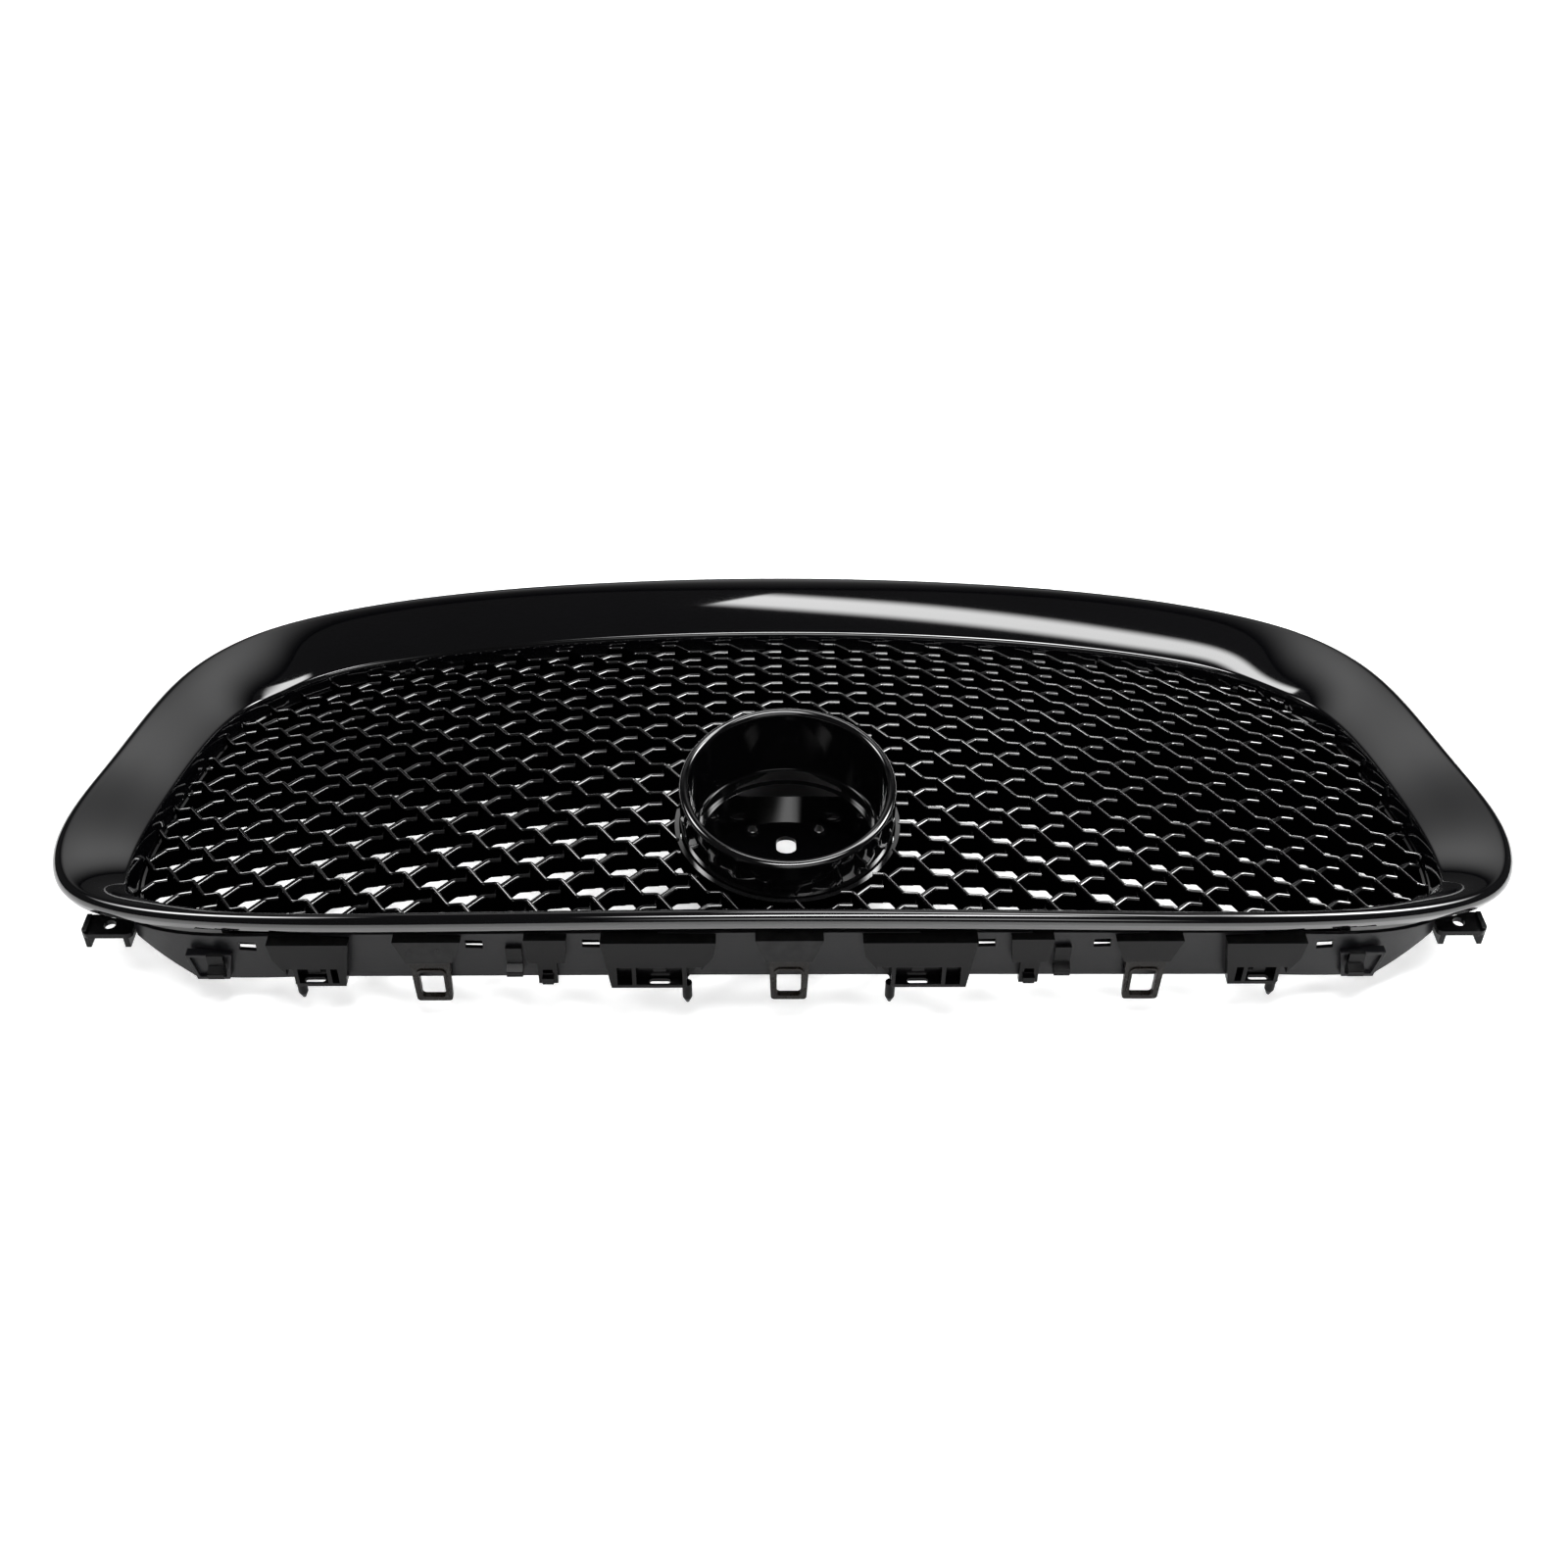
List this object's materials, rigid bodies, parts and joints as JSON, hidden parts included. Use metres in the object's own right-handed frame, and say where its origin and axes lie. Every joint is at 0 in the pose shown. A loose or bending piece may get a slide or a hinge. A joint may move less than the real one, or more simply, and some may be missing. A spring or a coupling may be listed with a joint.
{
  "type": "front grille",
  "caption": "Bowed gloss surround around a honeycomb insert with an empty round badge cup and a rear carrier of snap tabs, hooks and locating pins.",
  "frame": {"origin": "on the badge axis, level with the foot of the badge seat, 0.15 mm above the ledge the badge rests on", "axes": "+Z forward along the badge axis, +X across the car, +Y up the car; the rear clip carrier is at -Y"},
  "size_m": [0.8014, 0.3568, 0.0972],
  "materials": {
    "gloss_shell": "piano black gloss",
    "gloss_mesh": "gloss black moulded honeycomb",
    "gloss_cup": "gloss black",
    "screws": "plain steel",
    "carrier_plastic": "satin dark grey",
    "bracket_plastic": "semi-gloss black",
    "tab_plastic": "satin brown-black"
  },
  "bodies": {
    "grille": {"surround": "gloss_shell", "mesh_insert": "gloss_mesh", "badge_bezel": "gloss_cup", "badge_cup": "gloss_cup", "cup_screws": "screws", "lower_carrier": "carrier_plastic", "tab_mount_centre": "bracket_plastic", "tab_mount_left": "bracket_plastic", "inner_pocket_left": "bracket_plastic", "outer_pocket_left": "bracket_plastic", "stub_bracket_left": "bracket_plastic", "end_pocket_left": "carrier_plastic", "snap_hook_inner_left": "bracket_plastic", "snap_hook_outer_left": "bracket_plastic", "pin_inner_left": "bracket_plastic", "pin_outer_left": "bracket_plastic", "end_bracket_left": "bracket_plastic", "tab_mount_right": "bracket_plastic", "inner_pocket_right": "bracket_plastic", "outer_pocket_right": "bracket_plastic", "stub_bracket_right": "bracket_plastic", "end_pocket_right": "carrier_plastic", "snap_hook_inner_right": "bracket_plastic", "snap_hook_outer_right": "bracket_plastic", "pin_inner_right": "bracket_plastic", "pin_outer_right": "bracket_plastic", "end_bracket_right": "bracket_plastic"},
    "snap_tab_left": {"snap_tab_left": "tab_plastic"},
    "snap_tab_centre": {"snap_tab_centre": "tab_plastic"},
    "snap_tab_right": {"snap_tab_right": "tab_plastic"}
  },
  "joints": [
    {"name": "tab_flex_left", "type": "hinge", "parent": "grille", "child": "snap_tab_left", "pos_m": [-0.186, -0.07922, -0.0092], "axis": [-1, 0, 0], "range_deg": [0, 8], "stiffness_Nm_per_rad": 2},
    {"name": "tab_flex_centre", "type": "hinge", "parent": "grille", "child": "snap_tab_centre", "pos_m": [0, -0.0846, -0.0032], "axis": [-1, 0, 0], "range_deg": [0, 8], "stiffness_Nm_per_rad": 2},
    {"name": "tab_flex_right", "type": "hinge", "parent": "grille", "child": "snap_tab_right", "pos_m": [0.186, -0.07922, -0.0092], "axis": [-1, 0, 0], "range_deg": [0, 8], "stiffness_Nm_per_rad": 2}
  ]
}
